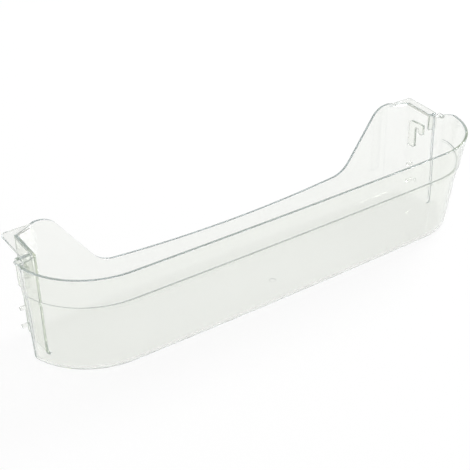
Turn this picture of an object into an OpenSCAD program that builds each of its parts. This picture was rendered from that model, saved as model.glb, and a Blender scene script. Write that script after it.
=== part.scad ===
// Fridge door shelf: one clear moulding with a proud band round its front and a low back.
// Millimetres, Z up, front towards -Y. Origin under the middle of the bounding box.

/* [Overall] */

// Length over the two ends of the band
length = 440; // [380:1:520]
// Depth from the front of the band to the back of the rear wall
depth = 109; // [98:1:130]
// Height of the top of the band above the underside
front_height = 93; // [84:1:112]
// Thickness of every wall and of the floor
wall = 2.5; // [1.8:0.1:3.4]
// How far the front wall leans out, in degrees
front_lean = 7.5; // [2:0.5:10]
// How far the end walls lean out, in degrees
end_lean = 1; // [0:0.5:2]
// Outside radius along the bottom edge
bottom_radius = 6; // [4:0.5:9]

/* [Band] */

// Height of the band that stands proud round the front
band_height = 29.6; // [20:0.2:40]
// How far the band stands proud of the front wall below it
band_step = 2.4; // [1.2:0.1:3]
// How far it stands proud at its ends, as a share of the same at the front
end_step_share = 0.4; // [0:0.1:1]
// Where the band ends, as a share of the depth
band_share = 0.61; // [0.58:0.005:0.66]
// How far the middle of the front bows out past its corners
front_bow = 1.3; // [0.5:0.1:3]
// How far the top of the band drops at its ends
band_drop = 3; // [2:0.5:8]
// Length over which the top of the band drops
drop_length = 14; // [10:0.5:20]
// How far the tab at the outer top corner of each end reaches behind the band
tab_reach = 6.5; // [4:0.5:8]

/* [Front corners] */

// Direction in which the top of the corner ends, in degrees round from the front
top_turn = 100; // [90:1:105]
// Direction in which the bottom of the corner ends, in degrees round from the front
bottom_turn = 79; // [70:1:88]
// Part of the top's turn that is made by the tight arc, in degrees
tight_turn = 22; // [10:1:30]
// Radius of the tight arc that ends each corner
tight_radius = 13; // [8:0.5:20]
// Length of the straight end of the band
end_run = 8.3; // [2:0.1:12]

/* [Back] */

// Height of the low stretch of the rear wall, at its two ends
low_height = 38; // [28:0.5:50]
// How far the low stretch sags in the middle
low_sag = 5; // [2:0.5:8]
// Length of each ear, from the end wall to the foot of its slope
ear_length = 75.5; // [68:0.5:90]
// Steepness of the slope up each ear, in degrees
ear_slope = 53.8; // [48:0.1:62]
// Radius at the foot of the slope
foot_radius = 27; // [15:0.5:32]
// Radius at the top of the slope
top_radius = 20; // [10:0.5:24]
// How far the ears stand above the band
ear_rise = 2.7; // [1:0.1:8]
// How far the top of the ear falls towards the front
ear_fall = 3.5; // [1:0.5:5]

/* [Ends] */

// How far the rear part of each end wall is set in from the band
end_inset = 15.2; // [12:0.2:20]
// Length of the slanting corner, measured along the rear wall
slant_length = 20.5; // [14:0.5:22]
// Length of the slanting corner, measured along the end wall
slant_depth = 8.5; // [6:0.5:12]
// How far the corner flange stands out from the end wall
flange_reach = 7.5; // [5:0.5:9]
// Rounding of the outer corner of the flange
flange_radius = 3; // [1:0.5:4.5]
// How far the flange lies below the top of the ear
flange_drop = 1; // [0:0.1:2]
// How far the rear edge of the flange lies in front of the rear wall's face
flange_inset = 0.8; // [0.3:0.1:2]
// Height of the web that closes the front of the flange
web_height = 15.5; // [10:0.5:20]
// Width of the slot between the band and the web
slot_width = 4.2; // [4.2:0.1:6]
// Gap between the corner flange and the tab of the band
tab_gap = 1; // [0.5:0.1:2]

/* [Hooks] */

// How far each hook stands out from the end wall
hook_reach = 3.3; // [2:0.1:5]
// Height of each hook from its foot to its top
hook_height = 26; // [20:0.5:30]
// Depth of the top of the hook below the top of the band
hook_below = 15.8; // [14:0.1:24]
// Width of the upright of the hook
hook_width = 8; // [6:0.5:9]
// Thickness of the bar along the top of the hook
bar_height = 5.3; // [4:0.1:7]
// Depth of the lip at the front of the hook, below the top bar
lip_height = 4.7; // [3:0.1:7]
// Rounding of the outer corner of the hook
hook_radius = 3; // [1:0.5:4]
// Radius of the locating pins
pin_radius = 1.8; // [1.2:0.1:2.5]
// How far the locating pins stand out from the end wall
pin_reach = 5.5; // [3:0.5:7]
// Each pin's place along the end wall, its height and its reach, as shares
pin_shares = [[0.87, 0.325, 1], [0.9, 0.135, 1], [0.58, 0.19, 0.2]];
// Places of the hook's front, of its lip's rear and of its back along the end wall, as shares
hook_place_shares = [0.38, 0.56, 0.92];

/* [Marks] */

// Radius of the gate mark under the floor
gate_radius = 3; // [2:0.1:4]
// Place of the gate mark behind the front, as a share of the depth
gate_share = 0.42; // [0.3:0.01:0.7]

/* [Hidden] */

// Steps in a quarter of a front corner
corner_steps = 22;
// Steps in the tight arc at the end of a corner
tight_steps = 5;
// Steps along half of the front
front_steps = 3;
// How much of the tight arc and of the straight end is lost by the bottom
low_share = 0.6;
// Levels between the rounded bottom edge and the band
wall_levels = 4;
// Steps along the straight end of the band
end_steps = 4;
// Steps round the bottom edge
round_steps = 6;
// Steps in each arc of the rear wall's outline
arc_steps = 12;
// Place of the far face of the band's end wall
band_end = depth * band_share;
// Inner face of the walls that close the ends of the band
corner_y = band_end - wall;
// How far the ends of the band lie inside the widest points of its top
end_tuck = tight_radius * (1 - sin(top_turn)) - end_run * cos(top_turn);
// Bottom of the band
band_bottom = front_height - band_height;
// Half the length of the rear part
rear_half = length / 2 - end_inset;
// Height of the ears
ear_height = front_height + ear_rise;
// Inside radius along the bottom edge
inner_radius = max(bottom_radius - wall, wall / 4);
// Height above everything, for the cuts
clear_height = ear_height + wall;
// Length of the level part of the end wall
end_length = depth - slant_depth - band_end;
// Radius of the drop at the end of the band
drop_radius = (pow(drop_length, 2) + pow(band_drop, 2)) / (2 * band_drop);
// Slope of the top of the ears and of the flange
ear_pitch = atan(ear_fall / (depth - corner_y));

// Radius of a wide arc that runs smoothly into an arc of radius r at distance x, rising by bow
function wide_radius(x, r, bow) = (pow(x, 2) + pow(r + bow, 2) - pow(r, 2)) / (2 * bow);

// Height of the top of the ears at a distance y from the front
function ear_top(y) = ear_height - (depth - y) * tan(ear_pitch);

// Height of the top of the band at a distance y from the front
function band_top(y) =
    let (run = max(y - (band_end - drop_length), 0))
    front_height - drop_radius + sqrt(pow(drop_radius, 2) - pow(run, 2));

// One level outline of the front part, moved in by inset. Its face lies at y = front and its ends
// stop at x = side. From the front it runs through a wide arc, a tight arc and a straight end.
function front_ring(front, side, z, inset, back) =
    let (
        low = (front_height - z) / front_height,
        last = top_turn + (bottom_turn - top_turn) * low,
        first = last - tight_turn * (1 - low * low_share),
        run = end_run * (1 - low * low_share),
        tight_rise = tight_radius * (cos(first) - cos(last)),
        r = (band_end - run * sin(last) - tight_rise - front - front_bow) / (1 - cos(first)),
        tight_x = side - run * cos(last) - tight_radius * sin(last),
        tight_y = band_end - run * sin(last) + tight_radius * cos(last),
        x = tight_x + (tight_radius - r) * sin(first),
        y = front + front_bow + r,
        wide = wide_radius(x, r, front_bow),
        turn = asin(x / (wide - r)),
        end_x = tight_x + (tight_radius - inset) * sin(last),
        end_y = tight_y - (tight_radius - inset) * cos(last),
        half = concat(
            [for (i = [0 : front_steps - 1])
                let (a = turn * i / front_steps)
                [(wide - inset) * sin(a), front + wide - (wide - inset) * cos(a)]],
            [for (i = [0 : corner_steps])
                let (a = turn + (first - turn) * i / corner_steps)
                [x + (r - inset) * sin(a), y - (r - inset) * cos(a)]],
            [for (i = [1 : tight_steps])
                let (a = first + (last - first) * i / tight_steps)
                [tight_x + (tight_radius - inset) * sin(a), tight_y - (tight_radius - inset) * cos(a)]],
            [for (i = [1 : end_steps])
                let (y = end_y + (back - end_y) * i / end_steps)
                [end_x + (y - end_y) / tan(last), y]]
        )
    )
    concat(
        [for (p = half) [p[0], p[1], z]],
        [for (i = [len(half) - 1 : -1 : 1]) [-half[i][0], half[i][1], z]]
    );

// One level outline of the rear part with its slanting corners, drawn in by inset
function rear_ring(inset, front, z) =
    let (
        span = norm([slant_length, slant_depth]),
        nx = slant_depth / span,
        ny = slant_length / span,
        reach = nx * rear_half + ny * (depth - slant_depth) - inset,
        half = rear_half - inset,
        back = depth - inset,
        xs = (reach - ny * back) / nx,
        ys = (reach - nx * half) / ny
    )
    [[half, front, z], [half, ys, z], [xs, back, z], [-xs, back, z], [-half, ys, z], [-half, front, z]];

// How far the front and the ends have drawn in at a height z below the top of the band
function lean_in(z, angle) = (front_height - z) * tan(angle);

// The front part's outline at height z, with the wall below the band set back by step,
// drawn in by draw and moved in by inset
function wall_ring(z, step, draw, inset, back) =
    front_ring(
        lean_in(z, front_lean) + step + draw,
        length / 2 - end_tuck - lean_in(z, end_lean) - step * end_step_share - draw,
        z, inset, back
    );

// Height and draw-in of each step round a bottom edge of radius r that starts at height base
function round_levels(r, base) =
    [for (i = [0 : round_steps])
        let (a = 90 - 90 * i / round_steps)
        [base + r * (1 - sin(a)), r * (1 - cos(a))]];

// Heights of the levels above a rounded bottom edge, from low up to top
function levels(low, top) = [for (i = [1 : wall_levels]) low + (top - low) * i / wall_levels];

// A solid skinned over rings that all have the same number of points. A lid laid in strips
// across the plane of symmetry lets the height of the last ring vary with y.
module skin(rings, strips = false) {
    n = len(rings[0]);
    m = floor((n - 1) / 2);
    points = [for (ring = rings) each ring];
    sides = [for (k = [0 : len(rings) - 2]) for (i = [0 : n - 1])
        let (a = k * n + i, b = k * n + (i + 1) % n)
        each [[a, a + n, b + n], [a, b + n, b]]];
    under = [for (i = [0 : n - 1]) i];
    over = strips
        ? concat([[n - 1, 1, 0]], [for (i = [1 : m - 1]) [n - i, n - i - 1, i + 1, i]])
        : [[for (i = [n - 1 : -1 : 0]) i]];
    lid = [for (face = over) [for (i = face) (len(rings) - 1) * n + i]];
    polyhedron(points, concat([under], sides, lid));
}

// The outside of the front part below the band
module lower_outside() {
    skin(concat(
        [for (l = round_levels(bottom_radius, 0)) wall_ring(l[0], band_step, l[1], 0, band_end)],
        [for (z = levels(bottom_radius, band_bottom + wall)) wall_ring(z, band_step, 0, 0, band_end)]
    ));
}

// The outside of the band, its top dropping at both ends
module band_outside() {
    skin([
        wall_ring(band_bottom, 0, 0, 0, band_end),
        [for (p = wall_ring(front_height, 0, 0, 0, band_end)) [p[0], p[1], band_top(p[1])]]
    ], true);
}

// The outside of the rear part, up to the sloping top of the ears
module rear_outside() {
    skin(concat(
        [for (l = round_levels(bottom_radius, 0)) rear_ring(l[1], corner_y, l[0])],
        [[for (p = rear_ring(0, corner_y, 0)) [p[0], p[1], ear_top(p[1])]]]
    ));
}

// The hollow of the front part, as far as y = back
module hollow(rings, back) {
    intersection() {
        skin(rings);
        translate([-length, -wall, 0])
            cube([2 * length, back + wall, 2 * clear_height]);
    }
}

// The hollow of the front part, below and behind the band
module front_hollow() {
    far = band_end + 2 * wall;
    hollow(concat(
        [for (l = round_levels(inner_radius, wall)) wall_ring(l[0], band_step, l[1], wall, far)],
        [for (z = levels(wall + inner_radius, clear_height)) wall_ring(z, band_step, 0, wall, far)]
    ), corner_y);
    hollow([
        wall_ring(band_bottom + wall, 0, 0, wall, far),
        wall_ring(clear_height, 0, 0, wall, far)
    ], corner_y - band_step);
}

// The hollow of the rear part
module rear_hollow() {
    skin(concat(
        [for (l = round_levels(inner_radius, wall)) rear_ring(wall + l[1], corner_y - 2 * wall, l[0])],
        [rear_ring(wall, corner_y - 2 * wall, clear_height)]
    ));
}

// The outline of everything above the rear wall: sagging stretch, foot, slope and top
module back_opening() {
    foot_x = rear_half - ear_length - foot_radius * tan(ear_slope / 2);
    foot_z = low_height + foot_radius;
    wide = wide_radius(foot_x, foot_radius, low_sag);
    turn = asin(foot_x / (wide - foot_radius));
    top_x = rear_half - ear_length + (ear_height - low_height) / tan(ear_slope)
        + top_radius * tan(ear_slope / 2);
    top_z = ear_height - top_radius;
    right = concat(
        [for (i = [0 : arc_steps])
            let (a = turn * i / arc_steps)
            [wide * sin(a), low_height - low_sag + wide * (1 - cos(a))]],
        [for (i = [1 : arc_steps])
            let (a = turn + (ear_slope - turn) * i / arc_steps)
            [foot_x + foot_radius * sin(a), foot_z - foot_radius * cos(a)]],
        [for (i = [0 : arc_steps])
            let (a = ear_slope * (1 - i / arc_steps))
            [top_x - top_radius * sin(a), top_z + top_radius * cos(a)]],
        [[top_x, clear_height]]
    );
    left = [for (i = [len(right) - 1 : -1 : 1]) [-right[i][0], right[i][1]]];
    translate([0, depth + wall, 0])
        rotate([90, 0, 0])
            linear_extrude(3 * wall)
                polygon(concat(right, left));
}

// The tab at the outer top corner of the band's end, level and pointing back beside the flange
module band_tab() {
    inner = rear_half + flange_reach + tab_gap;
    outer = length / 2 - end_tuck;
    back = band_end + tab_reach;
    root = corner_y + wall / 2;
    translate([0, 0, band_top(band_end) - wall * 9 / 8])
        linear_extrude(wall)
            polygon([[inner, root], [outer - wall / 2, root], [outer, back], [inner, back - wall / 2]]);
}

// The flange on the outside of the corner, with the web that closes its front
module corner_flange() {
    web_y = band_end + slot_width;
    back = depth - flange_inset;
    right = rear_half + flange_reach;
    translate([0, depth, ear_height - flange_drop])
        rotate([ear_pitch, 0, 0])
            translate([0, -depth, -wall])
                linear_extrude(wall)
                    difference() {
                        polygon([
                            [rear_half - slant_length, back],
                            [rear_half - wall / 2, depth - slant_depth - wall / 2],
                            [rear_half - wall / 2, web_y + wall / 2],
                            [right, web_y + wall / 2],
                            [right, back]
                        ]);
                        translate([right - flange_radius, back - flange_radius])
                            difference() {
                                square(2 * flange_radius);
                                circle(r = flange_radius, $fn = 48);
                            }
                    }
    translate([rear_half - wall / 2, web_y, ear_top(web_y) - flange_drop - web_height])
        cube([flange_reach + wall / 4, wall, web_height - wall / 4]);
}

// The hook on the outside of the end wall, open to the front and below
module hook() {
    top = front_height - hook_below;
    back = band_end + end_length * hook_place_shares[2];
    front = band_end + end_length * hook_place_shares[0];
    lip = band_end + end_length * hook_place_shares[1];
    outline = concat(
        [[front, top], [front, top - bar_height - lip_height], [lip, top - bar_height - lip_height]],
        [[lip, top - bar_height], [back - hook_width, top - bar_height]],
        [[back - hook_width, top - hook_height], [back, top - hook_height]],
        [for (i = [0 : arc_steps])
            let (a = 90 * i / arc_steps)
            [back - hook_radius * (1 - cos(a)), top - hook_radius * (1 - sin(a))]]
    );
    translate([rear_half - wall / 2, 0, 0])
        rotate([90, 0, 90])
            linear_extrude(hook_reach + wall / 2)
                polygon(outline);
}

// The small locating pins under the hook
module pins() {
    for (pin = pin_shares)
        translate([rear_half - wall / 2, band_end + end_length * pin[0], front_height * pin[1]])
            rotate([0, 90, 0])
                cylinder(r = pin_radius, h = pin_reach * pin[2] + wall / 2, $fn = 48);
}

module door_shelf() {
    color([0.93, 0.97, 0.96])
        translate([0, -depth / 2, 0])
            union() {
                difference() {
                    union() {
                        lower_outside();
                        band_outside();
                        rear_outside();
                    }
                    front_hollow();
                    rear_hollow();
                    back_opening();
                    translate([0, depth * gate_share, 0])
                        cylinder(r = gate_radius, h = wall / 2, center = true, $fn = 64);
                }
                for (side = [0, 1])
                    mirror([side, 0, 0]) {
                        band_tab();
                        corner_flange();
                        hook();
                        pins();
                    }
            }
}

door_shelf();
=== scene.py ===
"""A clear refrigerator door shelf on a white table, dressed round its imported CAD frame."""
import math

import bpy
import numpy as np
from mathutils import Matrix, Vector


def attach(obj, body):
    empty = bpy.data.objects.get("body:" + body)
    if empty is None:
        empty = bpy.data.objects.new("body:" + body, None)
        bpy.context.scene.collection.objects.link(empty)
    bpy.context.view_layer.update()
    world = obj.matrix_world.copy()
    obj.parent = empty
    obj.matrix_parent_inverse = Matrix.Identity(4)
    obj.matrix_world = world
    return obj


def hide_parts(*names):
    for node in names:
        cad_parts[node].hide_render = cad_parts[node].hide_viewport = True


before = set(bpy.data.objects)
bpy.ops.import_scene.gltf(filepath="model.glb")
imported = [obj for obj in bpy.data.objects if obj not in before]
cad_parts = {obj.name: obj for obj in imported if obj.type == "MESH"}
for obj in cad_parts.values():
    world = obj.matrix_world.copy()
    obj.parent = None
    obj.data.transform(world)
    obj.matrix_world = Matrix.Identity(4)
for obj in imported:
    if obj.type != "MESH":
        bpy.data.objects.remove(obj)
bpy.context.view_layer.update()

# The tray: one injection moulding in clear polystyrene. It has a floor and thin walls, a band that
# stands proud round the front and both ends, and a back cut low between two ears. It is made as one
# closed skin of rows and columns: a column is a place along the plan, a row a height and a depth.
LENGTH, DEPTH, FRONT_HEIGHT, WALL = 440.0, 109.0, 93.0, 2.5
FRONT_LEAN, END_LEAN = math.radians(7.5), math.radians(1.0)
BAND_BOTTOM, BAND_STEP, END_STEP_SHARE, FRONT_BOW = FRONT_HEIGHT - 29.6, 2.4, 0.4, 1.3
BAND_END, BAND_DROP, DROP_LENGTH = DEPTH * 0.61, 3.0, 14.0
TOP_TURN, BOTTOM_TURN, TIGHT_TURN = np.radians([100, 79, 22])
TIGHT_RADIUS, END_RUN, LOW_SHARE = 13.0, 8.3, 0.6
REAR_HALF, SLANT_RUN, SLANT_RISE = LENGTH / 2 - 15.2, 20.5, 8.5
EAR_HEIGHT, EAR_FALL, EAR_LENGTH, EAR_SLOPE = FRONT_HEIGHT + 2.7, 3.5, 75.5, math.radians(53.8)
LOW_HEIGHT, LOW_SAG, FOOT_RADIUS, TOP_RADIUS = 38.0, 5.0, 27.0, 20.0
BOTTOM_RADIUS, EDGE, ROOT, FLAT_RING, END_RADIUS = 6.0, 0.45, 0.35, 0.6, 2.0
DROP_RADIUS = (DROP_LENGTH ** 2 + BAND_DROP ** 2) / (2 * BAND_DROP)
END_TUCK = TIGHT_RADIUS * (1 - math.sin(TOP_TURN)) - END_RUN * math.cos(TOP_TURN)
EAR_PITCH = EAR_FALL / (DEPTH - BAND_END + WALL)
PLACES = {"wide": 9, "corner": 44, "tight": 10, "end": 5, "end corner": 8, "jog": 3, "root": 5,
          "side": 6, "slant in": 8, "slant": 4, "slant out": 8}


def wide_radius(x, radius, bow):
    """Radius of an arc across the plane of symmetry that runs smoothly into an arc of the given
    radius at distance x and has risen by bow by then: (x^2 + (r + bow)^2 - r^2) / (2 bow)."""
    return (x ** 2 + (radius + bow) ** 2 - radius ** 2) / (2 * bow)


def shares(count, last=False):
    """Even shares from 0 towards 1, with the 1 itself left out unless last is true."""
    return np.linspace(0, 1, count + 1)[:None if last else -1]


def rounded_corner(p, n, q, m, radius, t):
    """The arc that rounds the corner of two lines, one through p with outward normal n and one
    through q with m. Its centre lies r (n + m) / (1 + n.m) inside the corner; t runs along it."""
    det = n[0] * m[1] - n[1] * m[0]
    a, b = n[0] * p[0] + n[1] * p[1], m[0] * q[0] + m[1] * q[1]
    x, y = (a * m[1] - b * n[1]) / det, (b * n[0] - a * m[0]) / det
    back = radius / (1 + n[0] * m[0] + n[1] * m[1])
    angle = np.arctan2(n[1], n[0]) * (1 - t) + np.arctan2(m[1], m[0]) * t
    return (x - back * (n[0] + m[0]) + radius * np.cos(angle),
            y - back * (n[1] + m[1]) + radius * np.sin(angle))


def between(p, q, t):
    """Points on the straight line from p to q, at shares t of it."""
    return p[0] + (q[0] - p[0]) * t, p[1] + (q[1] - p[1]) * t


FOOT_X = REAR_HALF - EAR_LENGTH - FOOT_RADIUS * math.tan(EAR_SLOPE / 2)
SAG_RADIUS = wide_radius(FOOT_X, FOOT_RADIUS, LOW_SAG)
SAG_TURN = math.asin(FOOT_X / (SAG_RADIUS - FOOT_RADIUS))
TOP_X = (REAR_HALF - EAR_LENGTH + (EAR_HEIGHT - LOW_HEIGHT) / math.tan(EAR_SLOPE)
         + TOP_RADIUS * math.tan(EAR_SLOPE / 2))


def rear_places():
    """Distances from the middle of the columns of the rear wall: even in angle round the ear's top
    arc, then down the slope, round its foot, and along the sagging stretch to the middle."""
    top = TOP_X - TOP_RADIUS * np.sin(EAR_SLOPE * shares(16))
    foot = FOOT_X + FOOT_RADIUS * np.sin(EAR_SLOPE + (SAG_TURN - EAR_SLOPE) * shares(16))
    slope = between((TOP_X - TOP_RADIUS * math.sin(EAR_SLOPE), 0), (foot[0], 0), shares(12))[0]
    return np.concatenate([top, slope, foot, SAG_RADIUS * np.sin(SAG_TURN * (1 - shares(30, True)))])


def rear_edge(x):
    """Height of the rear wall's edge at a distance x from the middle: a wide sagging arc, an arc at
    the foot of the slope, the slope, and an arc over into the level top of the ear."""
    sag = LOW_HEIGHT - LOW_SAG + SAG_RADIUS - np.sqrt(SAG_RADIUS ** 2 - x ** 2)
    foot = LOW_HEIGHT + FOOT_RADIUS - np.sqrt(np.maximum(FOOT_RADIUS ** 2 - (x - FOOT_X) ** 2, 0))
    slope = LOW_HEIGHT + (x - REAR_HALF + EAR_LENGTH) * math.tan(EAR_SLOPE)
    top = EAR_HEIGHT - TOP_RADIUS + np.sqrt(np.maximum(TOP_RADIUS ** 2 - (TOP_X - x) ** 2, 0))
    ends = [FOOT_X + FOOT_RADIUS * math.sin(SAG_TURN), FOOT_X + FOOT_RADIUS * math.sin(EAR_SLOPE),
            TOP_X - TOP_RADIUS * math.sin(EAR_SLOPE), TOP_X]
    return np.select([x < end for end in ends], [sag, foot, slope, top], EAR_HEIGHT)


REAR_X = rear_places()
STARTS = np.cumsum([0] + list(PLACES.values()) + [len(REAR_X)])
FRONT_COLUMNS = STARTS[6]


def front_columns(z, step, draw, d, k):
    """The columns of part k of the front at heights z: a wide arc, the corner's arc, a tight arc and
    a straight end, then the rounded corner and the wall that closes the end of the band. The face
    leans with height, stands back by step and by the draw of the bottom's rounding, and everything
    is moved in by d along its normal. The tight arc stops where the end wall needs its room."""
    t = shares(list(PLACES.values())[k])[None]
    low = (FRONT_HEIGHT - z) / FRONT_HEIGHT
    last = TOP_TURN + (BOTTOM_TURN - TOP_TURN) * low
    first = last - TIGHT_TURN * (1 - low * LOW_SHARE)
    run = END_RUN * (1 - low * LOW_SHARE)
    face = (FRONT_HEIGHT - z) * math.tan(FRONT_LEAN) + step + draw
    side = (LENGTH / 2 - END_TUCK - (FRONT_HEIGHT - z) * math.tan(END_LEAN) - step * END_STEP_SHARE
            - draw)
    radius = (BAND_END - run * np.sin(last) - TIGHT_RADIUS * (np.cos(first) - np.cos(last))
              - face - FRONT_BOW) / (1 - np.cos(first))
    tight = (side - run * np.cos(last) - TIGHT_RADIUS * np.sin(last),
             BAND_END - run * np.sin(last) + TIGHT_RADIUS * np.cos(last))
    x, y = tight[0] + (TIGHT_RADIUS - radius) * np.sin(first), face + FRONT_BOW + radius
    wide = wide_radius(x, radius, FRONT_BOW)
    turn = np.arcsin(x / (wide - radius))
    end_radius = np.maximum(END_RADIUS - d, EDGE)
    room = BAND_END - d - end_radius * np.tan((math.pi - last) / 2) - EDGE / 4
    last = np.minimum(last, np.arccos((tight[1] - room) / (TIGHT_RADIUS - d)))
    if k == 0:
        return (wide - d) * np.sin(turn * t), face + wide - (wide - d) * np.cos(turn * t)
    if k == 1:
        a = turn + (first - turn) * t
        return x + (radius - d) * np.sin(a), y - (radius - d) * np.cos(a)
    if k == 2:
        a = first + (last - first) * t
        return tight[0] + (TIGHT_RADIUS - d) * np.sin(a), tight[1] - (TIGHT_RADIUS - d) * np.cos(a)
    n, m = (np.sin(last), -np.cos(last)), (0 * last, 1 + 0 * last)
    start = tight[0] + (TIGHT_RADIUS - d) * n[0], tight[1] + (TIGHT_RADIUS - d) * n[1]
    corner = start, n, (0 * d, BAND_END - d), m, end_radius
    if k == 3:
        return between(start, rounded_corner(*corner, 0), t)
    if k == 4:
        return rounded_corner(*corner, t)
    return between(rounded_corner(*corner, 1), (REAR_HALF + ROOT - draw, BAND_END - d), t)


def rear_columns(draw, wall, k):
    """The columns of part k of the back, drawn in by the bottom's rounding and moved in by the wall:
    the root where the end wall meets the end of the band, an arc about a centre outside; the end
    wall; the slanting corner; the rear wall."""
    t = shares(list(PLACES.values())[k])[None] if k < 11 else REAR_X[None]
    d = draw + wall
    span = math.hypot(SLANT_RUN, SLANT_RISE)
    slanted = SLANT_RISE / span + 0 * d, SLANT_RUN / span + 0 * d
    side, rear = (1 + 0 * d, 0 * d), (0 * d, 1 + 0 * d)
    end_wall = REAR_HALF - d, 0 * d
    slant_wall = REAR_HALF - slanted[0] * d, DEPTH - SLANT_RISE - slanted[1] * d
    radius = np.maximum(WALL + EDGE - d, EDGE)
    slant_in = end_wall, side, slant_wall, slanted, radius
    slant_out = slant_wall, slanted, (0 * d, DEPTH - d), rear, radius
    a = t * math.pi / 2
    if k == 6:
        return (REAR_HALF + ROOT - draw - (ROOT + wall) * np.sin(a),
                BAND_END + ROOT - (ROOT + wall) * np.cos(a))
    if k == 7:
        return between((REAR_HALF - d, BAND_END + ROOT + 0 * d), rounded_corner(*slant_in, 0), t)
    if k == 8:
        return rounded_corner(*slant_in, t)
    if k == 9:
        return between(rounded_corner(*slant_in, 1), rounded_corner(*slant_out, 0), t)
    if k == 10:
        return rounded_corner(*slant_out, t)
    return t + 0 * d, DEPTH - d + 0 * t


def plan(z, step, draw, d):
    """The right half of the outline, one row for each row of z, at heights z, set back by step below
    the band, drawn in by the bottom's rounding and moved in by d. Returns the distances from the
    middle and from the front."""
    parts = []
    for k in range(12):
        here = slice(STARTS[k], STARTS[k + 1])
        parts.append(front_columns(z[:, here], step, draw, d, k) if k < 6 else rear_columns(draw, d, k))
    return np.concatenate([p[0] for p in parts], 1), np.concatenate([p[1] for p in parts], 1)


def top_edge(x, y):
    """Height of the wall's top at each place: level round the band but for a rounded drop at its
    ends, sloping along the ears, and cut down to the rear edge between them."""
    run = np.clip(y - (BAND_END - DROP_LENGTH), 0, DROP_LENGTH)
    height = EAR_HEIGHT - (DEPTH - y) * EAR_PITCH
    height[:, :FRONT_COLUMNS] = (FRONT_HEIGHT - DROP_RADIUS
                                 + np.sqrt(DROP_RADIUS ** 2 - run ** 2))[:, :FRONT_COLUMNS]
    rear = slice(STARTS[11], None)
    height[:, rear] = np.minimum(height[:, rear], rear_edge(x[:, rear]))
    return height


# At the back, which has no band, the rows of the band's ledge keep these shares of the height.
LEDGE_LOW, LEDGE_MIDDLE, LEDGE_HIGH, LEDGE_SPREAD = 0.6, 0.65, 0.7, 0.02


def tray_rows():
    """The rows of the skin from the underside up the outside, over the rim and down the inside. Each
    gives the move inwards, the draw of the bottom's rounding, the step below the band, the height at
    the front as a fixed part and a share of what is left up to the rim, the same for the back, and
    the lift of the rim's rounding."""
    quarter = np.radians(15) * np.arange(7)
    s, c = np.sin(quarter), np.cos(quarter)
    inner_radius, ledge = BOTTOM_RADIUS - WALL, BAND_BOTTOM + WALL
    low, inner_low = BAND_BOTTOM - ROOT, ledge - EDGE
    spread = LEDGE_SPREAD * quarter
    rows = []

    def add(*values, lift=0.0):
        values = [np.atleast_1d(np.asarray(value, float)) for value in (*values, lift)]
        rows.append(np.stack(np.broadcast_arrays(*values)))

    t = shares(10)[1:]
    add(FLAT_RING, BOTTOM_RADIUS, BAND_STEP, 0, 0, 0, 0)
    add(0, BOTTOM_RADIUS * (1 - s), BAND_STEP, BOTTOM_RADIUS * (1 - c), 0, BOTTOM_RADIUS * (1 - c), 0)
    add(0, 0, BAND_STEP, BOTTOM_RADIUS + (low - BOTTOM_RADIUS) * t, 0, BOTTOM_RADIUS, LEDGE_LOW * t)
    add(0, 0, BAND_STEP - ROOT * (1 - c), BAND_BOTTOM - ROOT * (1 - s), 0,
        BOTTOM_RADIUS, LEDGE_LOW + spread)
    add(0, 0, EDGE * (1 - s), BAND_BOTTOM + EDGE * (1 - c), 0, BOTTOM_RADIUS, LEDGE_MIDDLE + spread)
    t = shares(6)[1:]
    add(0, 0, 0, BAND_BOTTOM + EDGE, t, BOTTOM_RADIUS, LEDGE_HIGH + (1 - LEDGE_HIGH) * t)
    add(EDGE * (1 - c), 0, 0, 0, 1, 0, 1, lift=EDGE * s)
    add(WALL - EDGE * (1 - c[::-1]), 0, 0, 0, 1, 0, 1, lift=EDGE * s[::-1])
    add(WALL, 0, 0, ledge + ROOT, 1 - t, BOTTOM_RADIUS, 1 - (1 - LEDGE_HIGH) * t)
    add(WALL, 0, ROOT * (1 - c), ledge + ROOT * (1 - s), 0, BOTTOM_RADIUS, LEDGE_HIGH - spread)
    add(WALL, 0, BAND_STEP - EDGE * (1 - s), ledge - EDGE * (1 - c), 0,
        BOTTOM_RADIUS, LEDGE_MIDDLE - spread)
    t = shares(10)[1:]
    add(WALL, 0, BAND_STEP, inner_low + (BOTTOM_RADIUS - inner_low) * t, 0,
        BOTTOM_RADIUS, LEDGE_LOW * (1 - t))
    add(WALL, inner_radius * (1 - c), BAND_STEP, WALL + inner_radius * (1 - s), 0,
        WALL + inner_radius * (1 - s), 0)
    add(WALL + FLAT_RING, inner_radius, BAND_STEP, WALL, 0, WALL, 0)
    return np.concatenate(rows, 1)


def tray_skin():
    """The tray's points, in rows from the underside to the floor. Every row of the half outline is
    carried round by its mirror image, and y runs from the middle of the depth."""
    inset, draw, step, front, front_share, back, back_share, lift = (a[:, None] for a in tray_rows())
    columns = np.arange(STARTS[-1])[None]
    x, y = plan(FRONT_HEIGHT - BAND_DROP * (columns > STARTS[3]) + 0 * inset, 0 * step, 0 * draw, inset)
    rim = top_edge(x, y) - EDGE
    z = np.where(columns < FRONT_COLUMNS, front + front_share * (rim - front),
                 back + back_share * (rim - back)) + lift
    x, y = plan(z, step, draw, inset)
    right = np.stack([x, y - DEPTH / 2, z], -1)
    return np.concatenate([right, right[:, -2:0:-1] * [-1, 1, 1]], 1)


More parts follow.
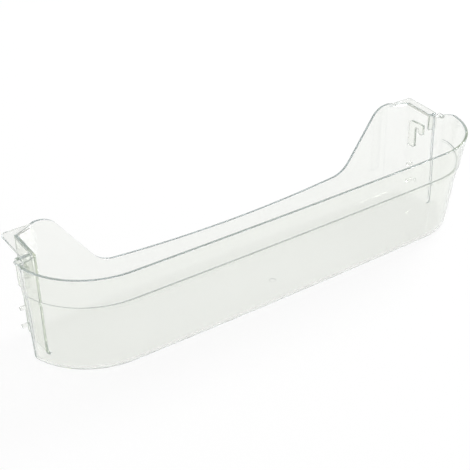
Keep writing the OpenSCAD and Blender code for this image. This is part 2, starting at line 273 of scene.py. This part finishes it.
def solid(name, points):
    """A mesh object of one closed skin, from rows of points in millimetres: quads join each row to
    the next, all the way round, and one flat face closes the first row and one the last."""
    rows, around = points.shape[:2]
    here = np.arange(around)
    there = (here + 1) % around
    level = np.arange(rows - 1)[:, None] * around
    quads = np.stack([level + here, level + there, level + around + there, level + around + here], -1)
    caps = [list(range(around - 1, -1, -1)), list(range((rows - 1) * around, rows * around))]
    mesh = bpy.data.meshes.new(name)
    mesh.from_pydata((points.reshape(-1, 3) / 1000).tolist(), [], quads.reshape(-1, 4).tolist() + caps)
    mesh.update()
    made = bpy.data.objects.new(name, mesh)
    bpy.context.collection.objects.link(made)
    return made


shelf = solid("door_shelf_moulding", tray_skin())


# The flanges: a thin plate outside each rear corner, just under the top of the ear and sloping with
# it, with a short web that closes its front and leaves a slot behind the end of the band. A small tab
# points back beside it from the band's outer corner. All are plates with softened edges.
SLOT, FLANGE_REACH, FLANGE_DROP, FLANGE_INSET, WEB_HEIGHT = 4.2, 7.5, 1.0, 0.8, 15.5
TAB_REACH, TAB_GAP, PLATE_EDGE = 6.5, 1.0, 0.35
FLANGE_RADIUS, OUTER_CORNER, CORNER = 3.0, 0.6, 0.4


def rounded_outline(corners, radii, count):
    """A closed outline with its corners rounded, and its outward normals. Each corner becomes an arc
    of count steps between the normals of the sides that meet there, about r (n + m) / (1 + n.m)
    inside the corner; a corner that turns the other way has its centre outside."""
    corner, radius = np.asarray(corners, float), np.asarray(radii, float)[:, None]
    side = np.roll(corner, -1, 0) - corner
    side /= np.linalg.norm(side, axis=1, keepdims=True)
    m = np.stack([side[:, 1], -side[:, 0]], 1)
    n = np.roll(m, 1, 0)
    turn = n[:, 0] * m[:, 1] - n[:, 1] * m[:, 0]
    bend = np.arctan2(turn, (n * m).sum(1))[:, None]
    sign = np.sign(turn)[:, None]
    centre = corner - sign * radius * (n + m) / (1 + (n * m).sum(1, keepdims=True))
    angle = np.arctan2(n[:, 1], n[:, 0])[:, None] + bend * np.linspace(0, 1, count + 1)
    normal = np.stack([np.cos(angle), np.sin(angle)], -1)
    outline = centre[:, None] + sign[:, None] * radius[:, None] * normal
    return outline.reshape(-1, 2), normal.reshape(-1, 2)


def plate(name, outline, normals, low, high, edge, place):
    """A plate between two levels with rounded edges: the outline moves in by e (1 - cos a) as the
    level passes e (1 - sin a) from either face. place takes its points to the shelf's frame."""
    a = np.radians([90, 67.5, 45, 22.5, 0])
    draw, rise = edge * (1 - np.cos(a)), edge * (1 - np.sin(a))
    inset = np.concatenate([draw, draw[::-1]])
    level = np.concatenate([low + rise, high - rise[::-1]])
    flat = outline[None] - inset[:, None, None] * normals[None]
    level = np.broadcast_to(level[:, None, None], flat.shape[:2] + (1,))
    return solid(name, place(np.concatenate([flat, level], -1)))


def along_slope(points):
    """Lays a level plate on the slope of the ear's top, hinged about the rear wall's face."""
    across, run, rise = points[..., 0], points[..., 1] - DEPTH, points[..., 2]
    s, c = math.sin(math.atan(EAR_PITCH)), math.cos(math.atan(EAR_PITCH))
    return np.stack([across, DEPTH / 2 + run * c - rise * s,
                     EAR_HEIGHT - FLANGE_DROP + run * s + rise * c], -1)


def upright(points):
    """Leaves a plate level, and counts its distances from the middle of the depth."""
    return points - [0, DEPTH / 2, 0]


web_y, flange_back = BAND_END + SLOT, DEPTH - FLANGE_INSET
flange_right, wall_middle = REAR_HALF + FLANGE_REACH, REAR_HALF - WALL / 2
flange_outline = rounded_outline(
    [[REAR_HALF - SLANT_RUN, flange_back], [wall_middle, DEPTH - SLANT_RISE - WALL / 2],
     [wall_middle, web_y + WALL / 2], [flange_right, web_y + WALL / 2], [flange_right, flange_back]],
    [CORNER, CORNER, CORNER, OUTER_CORNER, FLANGE_RADIUS], 8)
web_top = EAR_HEIGHT - (DEPTH - web_y) * EAR_PITCH - FLANGE_DROP - WALL / 4
web_outline = rounded_outline(
    [[wall_middle, web_y], [flange_right - WALL / 4, web_y], [flange_right - WALL / 4, web_y + WALL],
     [wall_middle, web_y + WALL]], [CORNER] * 4, 4)
tab_inner, tab_outer, tab_root = flange_right + TAB_GAP, LENGTH / 2 - END_TUCK, BAND_END - WALL / 2
tab_outline = rounded_outline(
    [[tab_inner, tab_root], [tab_outer - WALL / 2, tab_root], [tab_outer, BAND_END + TAB_REACH],
     [tab_inner, BAND_END + TAB_REACH - WALL / 2]], [CORNER] * 4, 4)
tab_top = FRONT_HEIGHT - BAND_DROP - WALL / 8
parts = [plate("tab", *tab_outline, tab_top - WALL, tab_top, PLATE_EDGE, upright),
         plate("flange", *flange_outline, -WALL, 0.0, PLATE_EDGE, along_slope),
         plate("web", *web_outline, web_top + WALL / 4 - WEB_HEIGHT, web_top, PLATE_EDGE, upright)]


# The hooks: a shallow rib on the outside of each end wall, like an upside-down J, which drops over a
# lug in the door. It is a plate standing on the wall, moulded with it, with its outer edges softened.
HOOK_REACH, HOOK_TOP, HOOK_HEIGHT, HOOK_WIDTH = 3.3, FRONT_HEIGHT - 15.8, 26.0, 8.0
BAR_HEIGHT, LIP_HEIGHT, HOOK_RADIUS, HOOK_CORNER = 5.3, 4.7, 3.0, 0.7
HOOK_SHARES = np.array([0.38, 0.56, 0.92])
end_length = DEPTH - SLANT_RISE - BAND_END
hook_front, lip_rear, hook_back = (BAND_END + end_length * HOOK_SHARES).tolist()


def on_end_wall(points):
    """Stands a plate on the end wall: its own level becomes the distance from the middle."""
    return np.stack([points[..., 2], points[..., 0] - DEPTH / 2, points[..., 1]], -1)


hook_outline = rounded_outline(
    [[hook_back, HOOK_TOP - HOOK_HEIGHT], [hook_back, HOOK_TOP], [hook_front, HOOK_TOP],
     [hook_front, HOOK_TOP - BAR_HEIGHT - LIP_HEIGHT], [lip_rear, HOOK_TOP - BAR_HEIGHT - LIP_HEIGHT],
     [lip_rear, HOOK_TOP - BAR_HEIGHT], [hook_back - HOOK_WIDTH, HOOK_TOP - BAR_HEIGHT],
     [hook_back - HOOK_WIDTH, HOOK_TOP - HOOK_HEIGHT]],
    [HOOK_CORNER, HOOK_RADIUS, *[HOOK_CORNER] * 3, CORNER, CORNER, HOOK_CORNER], 6)
parts.append(plate("hook", *hook_outline, wall_middle, REAR_HALF + HOOK_REACH, PLATE_EDGE, on_end_wall))


# The pins: two locating pins and a low pip on each end wall, solid plastic moulded with it, round and
# softened at the tip. Their places are shares of the end wall's length and of the front's height.
PIN_RADIUS, PIN_REACH = 1.8, 5.5
REAR_PIN, LOW_PIN, PIP = (0.87, 0.325, 1.0), (0.9, 0.135, 1.0), (0.58, 0.19, 0.2)
turn = np.linspace(0, 2 * np.pi, 41)[:-1]
circle = np.stack([np.cos(turn), np.sin(turn)], 1)
for along, up, reach in (REAR_PIN, LOW_PIN, PIP):
    pin_outline = circle * PIN_RADIUS + [BAND_END + end_length * along, FRONT_HEIGHT * up]
    parts.append(plate("pin", pin_outline, circle, wall_middle, REAR_HALF + PIN_REACH * reach,
                       PLATE_EDGE, on_end_wall))


# The gate mark: a shallow round dimple under the floor, where the plastic entered the mould. It is
# cut from the moulding, and shows through the floor from above.
GATE_RADIUS, GATE_DEPTH, GATE_Y, GATE_EDGE = 3.0, WALL / 4, DEPTH * 0.42, 0.3
gate = plate("gate", circle * GATE_RADIUS + [0, GATE_Y], circle, -GATE_DEPTH, GATE_DEPTH, GATE_EDGE, upright)

# The whole moulding: the tray and all that stands on it are one piece of plastic. So they become one
# closed mesh, smooth but for its sharp edges, which takes the place of the CAD's solid.
SHARP_ANGLE = math.radians(35)


def mirrored(piece):
    """The same piece on the left: x changes sign, and the faces are turned to point outwards."""
    twin = piece.data.copy()
    twin.transform(Matrix.Diagonal((-1, 1, 1, 1)))
    twin.flip_normals()
    made = bpy.data.objects.new(piece.name, twin)
    bpy.context.collection.objects.link(made)
    return made


def join(body, tool, operation):
    """Adds a solid to the body or cuts it away, and leaves one closed mesh."""
    step = body.modifiers.new("join", "BOOLEAN")
    step.object, step.operation, step.solver = tool, operation, "MANIFOLD"
    joined = bpy.data.meshes.new_from_object(body.evaluated_get(bpy.context.evaluated_depsgraph_get()))
    body.modifiers.clear()
    body.data = joined
    bpy.data.objects.remove(tool)


parts += [mirrored(part) for part in parts]
for part in parts:
    join(shelf, part, "UNION")
join(shelf, gate, "DIFFERENCE")
shelf.data.name = shelf.name
shelf.data.shade_smooth()
shelf.data.set_sharp_from_angle(angle=SHARP_ANGLE)
weigh = shelf.modifiers.new("weigh", "WEIGHTED_NORMAL")
weigh.keep_sharp, weigh.weight = True, 100
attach(shelf, "root")
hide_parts("door_shelf")


# The plastic: clear polystyrene, polished by the mould, with the faint grey-green of the resin, which
# deepens with the length of the light's path. Its polish is a little uneven, with faint flow waves,
# and a small share of the light scatters.
CLEAR, SCATTERED_SHARE, INDEX = (0.985, 0.99, 0.98, 1), 0.045, 1.57
# The grey-blue on the next line is not the plastic's colour. It is a painted glow that stands in for the
# surroundings mirrored deep inside the rims.
RESIN, RESIN_DENSITY, PAINTED_SURROUNDINGS_GLOW, MOST_MIRRORED = (0.70, 0.77, 0.57, 1), 26.0, (0.56, 0.61, 0.70, 1), 3.5


class Shader:
    """A value in a tree of shader nodes. It takes part in Python sums, where each operator adds its
    Math node, and any other node comes from its method node."""

    def __init__(self, tree, socket=None):
        self.tree, self.socket = tree, socket

    def node(self, kind, settings=None, sockets=None, output=0):
        """Adds a node of a kind to the same tree: its settings first, then the values or links of its
        sockets. Returns one output of it, ready for sums."""
        made = self.tree.nodes.new(kind)
        for name, value in (settings or {}).items():
            setattr(made, name, value)
        for name, value in (sockets or {}).items():
            if isinstance(value, Shader):
                self.tree.links.new(value.socket, made.inputs[name])
            else:
                made.inputs[name].default_value = value
        return Shader(self.tree, made.outputs[output] if made.outputs else None)

    def math(self, operation, other, swap=False):
        a, b = (other, self) if swap else (self, other)
        return self.node("ShaderNodeMath", {"operation": operation}, {0: a, 1: b})

    def __add__(self, other):
        return self.math("ADD", other)

    def __rsub__(self, other):
        return self.math("SUBTRACT", other, True)

    def __mul__(self, other):
        return self.math("MULTIPLY", other)

    __radd__, __rmul__ = __add__, __mul__


def empty_tree(owner):
    """Turns on the shader nodes of a material or a world, and clears them for a new tree."""
    owner.use_nodes = True
    owner.node_tree.nodes.clear()
    return Shader(owner.node_tree)


plastic = bpy.data.materials.new("clear_polystyrene")
tree = empty_tree(plastic)
where = tree.node("ShaderNodeTexCoord", output=3)
waves = tree.node("ShaderNodeTexNoise", {}, {
    "Vector": where, "Scale": 14.0, "Detail": 1.0, "Roughness": 0.4})
haze = tree.node("ShaderNodeTexNoise", {}, {
    "Vector": where, "Scale": 60.0, "Detail": 4.0, "Roughness": 0.6})
bump = tree.node("ShaderNodeBump", {}, {"Height": waves, "Strength": 0.15, "Distance": 0.001})
surface = tree.node("ShaderNodeBsdfPrincipled", {}, {
    "Base Color": CLEAR, "IOR": INDEX, "Transmission Weight": 1 - SCATTERED_SHARE,
    "Roughness": 0.004 + 0.012 * haze, "Normal": bump})
# Light that has been mirrored inside the wall more often than the renderer follows is replaced by a painted
# glow. This is an emission in the pale grey of the surroundings that stands in for their reflection, so that
# the rims don't turn black.
mirrored = tree.node("ShaderNodeLightPath", output="Glossy Depth")
painted_surroundings_glow = tree.node("ShaderNodeEmission", {}, {"Color": PAINTED_SURROUNDINGS_GLOW, "Strength": 1.0})
surface = tree.node("ShaderNodeMixShader", {}, {
    0: mirrored.math("GREATER_THAN", MOST_MIRRORED), 1: surface, 2: painted_surroundings_glow})
inside = tree.node("ShaderNodeVolumeAbsorption", {}, {"Color": RESIN, "Density": RESIN_DENSITY})
tree.node("ShaderNodeOutputMaterial", {}, {"Surface": surface, "Volume": inside})
shelf.data.materials.clear()
shelf.data.materials.append(plastic)

# The table: a plain white sheet under and round the shelf. What looks at it sees mostly white, and a
# share of it is lit by the lamps, so that it keeps the shelf's faint shadow.
TABLE_HALF, TABLE_GAP, PAPER, WHITE_SHARE = 4.0, 0.0005, (0.95, 0.95, 0.95, 1), 0.9
corners = [(TABLE_HALF * x, TABLE_HALF * y, -TABLE_GAP) for x, y in ((-1, -1), (1, -1), (1, 1), (-1, 1))]
floor = bpy.data.objects.new("table", bpy.data.meshes.new("table"))
floor.data.from_pydata(corners, [], [(0, 1, 2, 3)])
bpy.context.collection.objects.link(floor)
sheet = bpy.data.materials.new("white_sheet")
tree = empty_tree(sheet)
camera_ray, glossy_ray, transmitted_ray = (
    tree.node("ShaderNodeLightPath", output=f"Is {kind} Ray")
    for kind in ("Camera", "Glossy", "Transmission"))
seen = camera_ray.math("MAXIMUM", glossy_ray.math("MAXIMUM", transmitted_ray))
lit = tree.node("ShaderNodeBsdfDiffuse", {}, {"Color": PAPER})
white = tree.node("ShaderNodeEmission", {}, {"Color": (1, 1, 1, 1), "Strength": 1.0})
surface = tree.node("ShaderNodeMixShader", {}, {0: seen * WHITE_SHARE, 1: lit, 2: white})
tree.node("ShaderNodeOutputMaterial", {}, {"Surface": surface})
floor.data.materials.append(sheet)

# The studio: soft light all round, white near the horizon and greyer overhead, and two large lamps.
# The right one is the main light, and the left one only lifts the shadows.
LAMP_SIZE, LAMPS = 0.8, {"softbox_right": ((1.6, 0.3, 1.3), 28.0), "softbox_left": ((-1.2, -0.9, 1.3), 2.0)}
studio = bpy.data.worlds.new("studio")
bpy.context.scene.world = studio
tree = empty_tree(studio)
direction = tree.node("ShaderNodeTexCoord", output=0)
up = tree.node("ShaderNodeSeparateXYZ", {}, {"Vector": direction}, output=2)
shade = tree.node("ShaderNodeMapRange", {"interpolation_type": "SMOOTHSTEP"}, {
    "Value": up, "From Min": 0.15, "From Max": 0.7, "To Min": 1.0, "To Max": 0.6})
camera_ray = tree.node("ShaderNodeLightPath")
light = tree.node("ShaderNodeBackground", {}, {
    "Color": (1, 1, 1, 1), "Strength": camera_ray + (1 - camera_ray) * shade})
tree.node("ShaderNodeOutputWorld", {}, {"Surface": light})
for name, (place, power) in LAMPS.items():
    lamp = bpy.data.lights.new(name, "AREA")
    lamp.shape, lamp.size, lamp.energy = "SQUARE", LAMP_SIZE, power
    box = bpy.data.objects.new(name, lamp)
    bpy.context.collection.objects.link(box)
    box.matrix_world = Matrix.Translation(place) @ Vector(place).to_track_quat("Z", "Y").to_matrix().to_4x4()

# The camera, where the photograph was taken from: to the left and in front of the shelf, looking
# down along its length, rolled a little and with a long lens.
AZIMUTH, ELEVATION, ROLL = math.radians(34.035), math.radians(30.783), math.radians(1.591)
LENS, SENSOR = 79.944, 36.0
CAMERA_PLACE = (-0.44976, -0.61988, 0.49917)
ahead = np.array([math.sin(AZIMUTH) * math.cos(ELEVATION), math.cos(AZIMUTH) * math.cos(ELEVATION),
                  -math.sin(ELEVATION)])
right = np.array([math.cos(AZIMUTH), -math.sin(AZIMUTH), 0])
down = np.cross(ahead, right)
across = right * math.cos(ROLL) + down * math.sin(ROLL)
below = down * math.cos(ROLL) - right * math.sin(ROLL)
camera = bpy.data.objects.new("camera", bpy.data.cameras.new("camera"))
bpy.context.collection.objects.link(camera)
camera.data.lens, camera.data.sensor_width, camera.data.sensor_fit = LENS, SENSOR, "HORIZONTAL"
axes = Matrix(np.stack([across, -below, -ahead], 1).tolist())
camera.matrix_world = Matrix.Translation(CAMERA_PLACE) @ axes.to_4x4()
bpy.context.scene.camera = camera
bpy.context.scene.view_settings.view_transform = "Standard"
